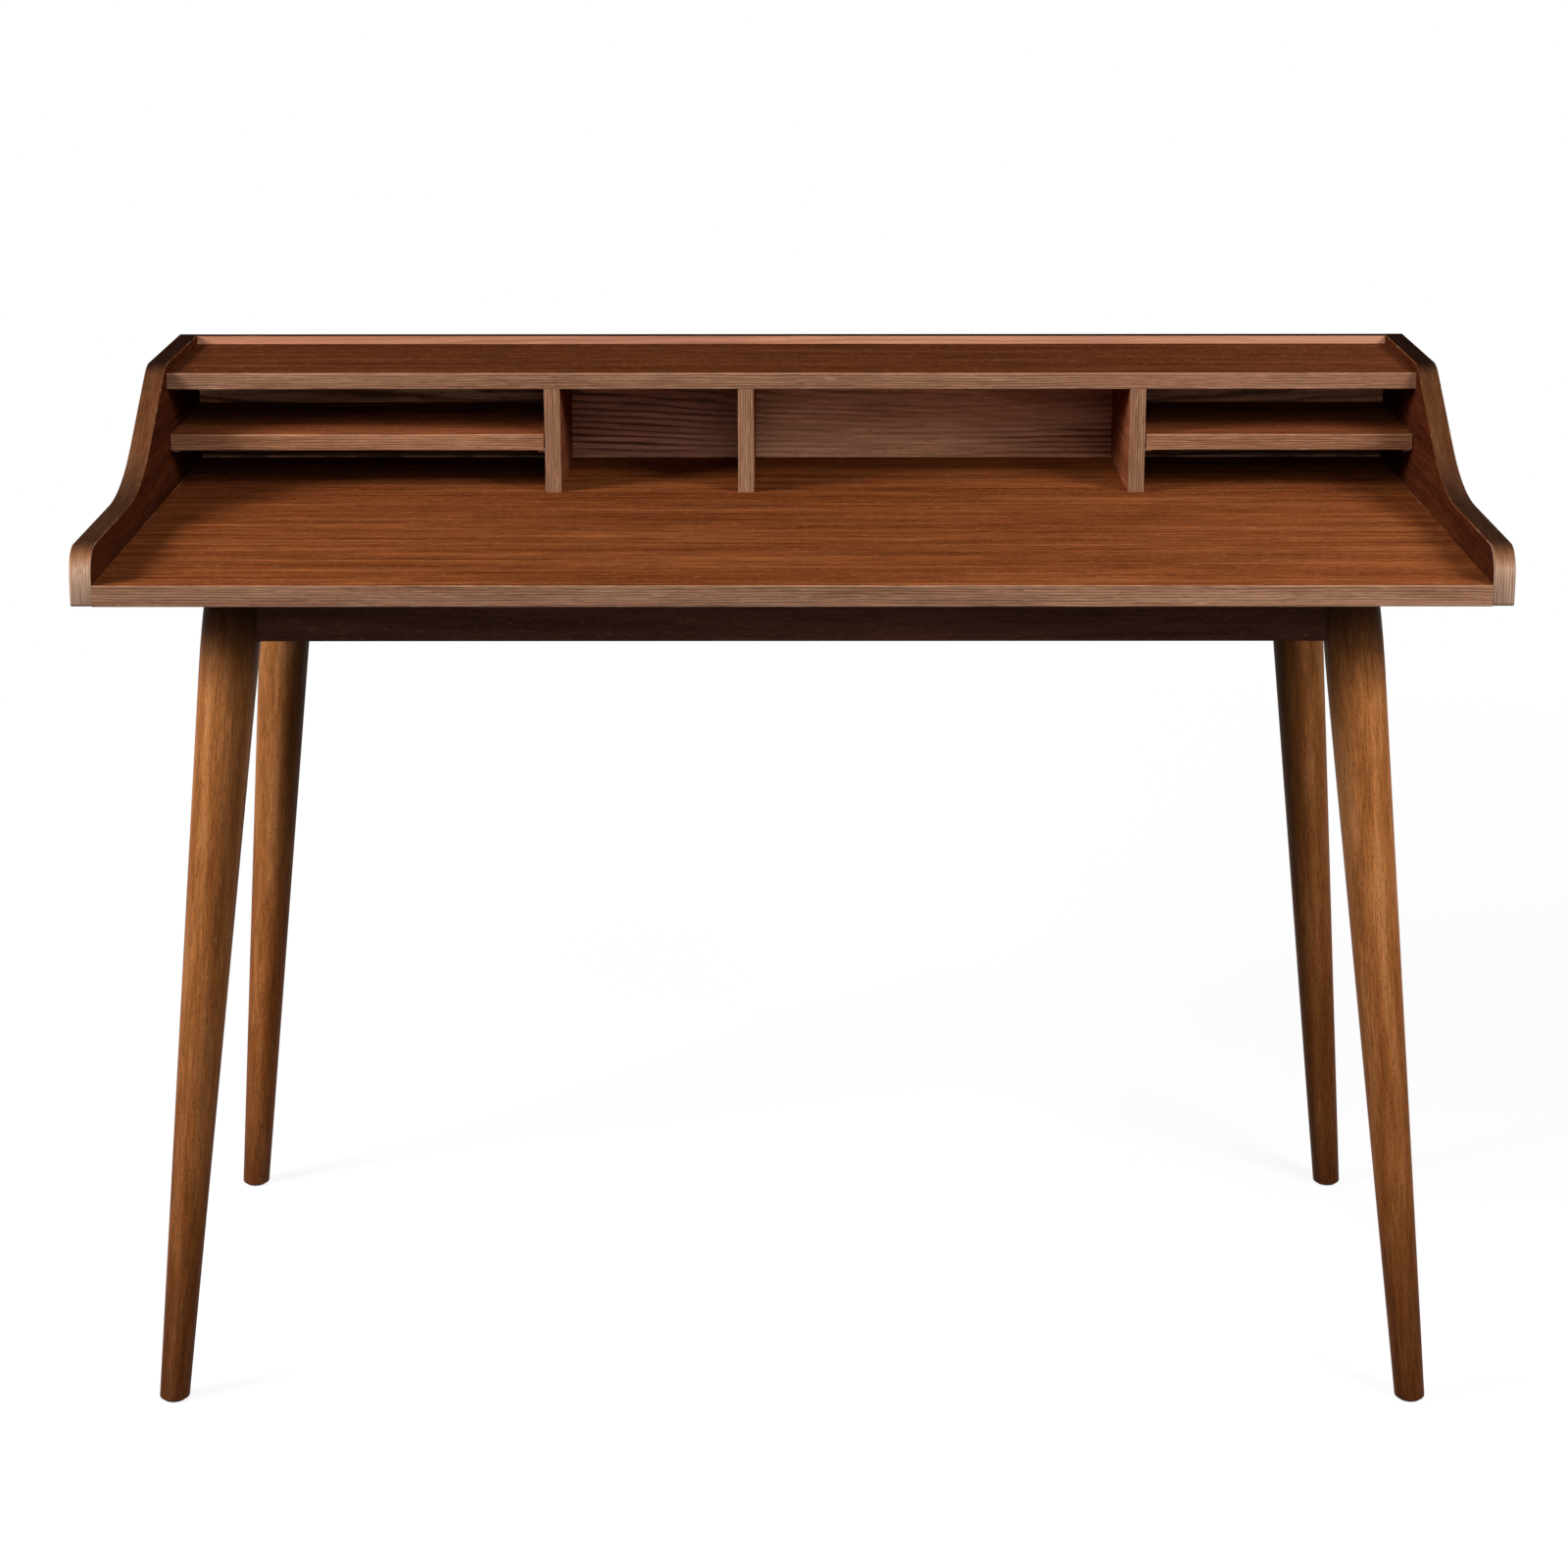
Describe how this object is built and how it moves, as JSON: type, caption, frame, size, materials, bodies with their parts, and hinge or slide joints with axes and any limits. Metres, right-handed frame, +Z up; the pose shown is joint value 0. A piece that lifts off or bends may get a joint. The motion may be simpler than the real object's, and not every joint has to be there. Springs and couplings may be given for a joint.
{
  "type": "writing desk",
  "caption": "Walnut writing desk with a low open gallery along the rear, swept side panels, loose shelves and splayed round tapered legs.",
  "frame": {"origin": "on the floor, under the centre of the desktop", "axes": "+X along the width to the right, +Y from the front edge to the gallery, +Z up"},
  "size_m": [1.2, 0.6, 0.875],
  "materials": {
    "walnut_veneer": "satin lacquered walnut veneer on board",
    "walnut_veneer_side": "satin lacquered walnut veneer, grain along the depth",
    "walnut_veneer_back": "satin walnut veneer, cathedral grain",
    "walnut_edge_band": "satin walnut edge banding",
    "walnut_apron": "satin dark walnut",
    "walnut_leg": "satin lacquered solid walnut",
    "beech_block": "sawn beech",
    "beech_dowel": "fluted beech",
    "nylon_glide": "moulded nylon",
    "zinc_steel": "zinc plated",
    "cast_zinc": "die-cast zinc"
  },
  "bodies": {
    "desk_body": {"desktop_panel": "walnut_veneer", "top_shelf": "walnut_veneer", "left_divider": "walnut_veneer", "middle_divider": "walnut_veneer", "right_divider": "walnut_veneer", "left_side_panel": "walnut_veneer_side", "right_side_panel": "walnut_veneer_side", "back_panel": "walnut_veneer_back", "desktop_front_band": "walnut_edge_band", "desktop_rear_band": "walnut_edge_band", "top_shelf_band": "walnut_edge_band", "back_panel_band": "walnut_edge_band", "left_side_band": "walnut_edge_band", "right_side_band": "walnut_edge_band", "left_divider_band": "walnut_edge_band", "middle_divider_band": "walnut_edge_band", "right_divider_band": "walnut_edge_band", "front_apron": "walnut_apron", "rear_apron": "walnut_apron", "left_apron": "walnut_apron", "right_apron": "walnut_apron", "front_left_leg": "walnut_leg", "front_left_corner_block": "beech_block", "front_left_foot_glide": "nylon_glide", "front_right_leg": "walnut_leg", "front_right_corner_block": "beech_block", "front_right_foot_glide": "nylon_glide", "rear_left_leg": "walnut_leg", "rear_left_corner_block": "beech_block", "rear_left_foot_glide": "nylon_glide", "rear_right_leg": "walnut_leg", "rear_right_corner_block": "beech_block", "rear_right_foot_glide": "nylon_glide", "left_shelf_pins": "zinc_steel", "right_shelf_pins": "zinc_steel", "leg_bolts": "zinc_steel", "leg_bolt_washers": "zinc_steel", "leg_bolt_nuts": "zinc_steel", "corner_block_screws": "zinc_steel", "apron_screws": "zinc_steel", "back_panel_screws": "zinc_steel", "desktop_cam_bolts": "zinc_steel", "top_shelf_cam_bolts": "zinc_steel", "desktop_cam_locks": "cast_zinc", "top_shelf_cam_locks": "cast_zinc", "apron_dowels": "beech_dowel", "side_panel_dowels": "beech_dowel", "top_shelf_dowels": "beech_dowel", "divider_dowels": "beech_dowel"},
    "left_loose_shelf_body": {"left_loose_shelf": "walnut_veneer", "left_loose_shelf_band": "walnut_edge_band"},
    "right_loose_shelf_body": {"right_loose_shelf": "walnut_veneer", "right_loose_shelf_band": "walnut_edge_band"}
  },
  "joints": [
    {"name": "left_shelf_slide", "type": "slide", "parent": "desk_body", "child": "left_loose_shelf_body", "axis": [0, -1, 0], "range_m": [0, 0.2]},
    {"name": "right_shelf_slide", "type": "slide", "parent": "desk_body", "child": "right_loose_shelf_body", "axis": [0, -1, 0], "range_m": [0, 0.2]}
  ]
}
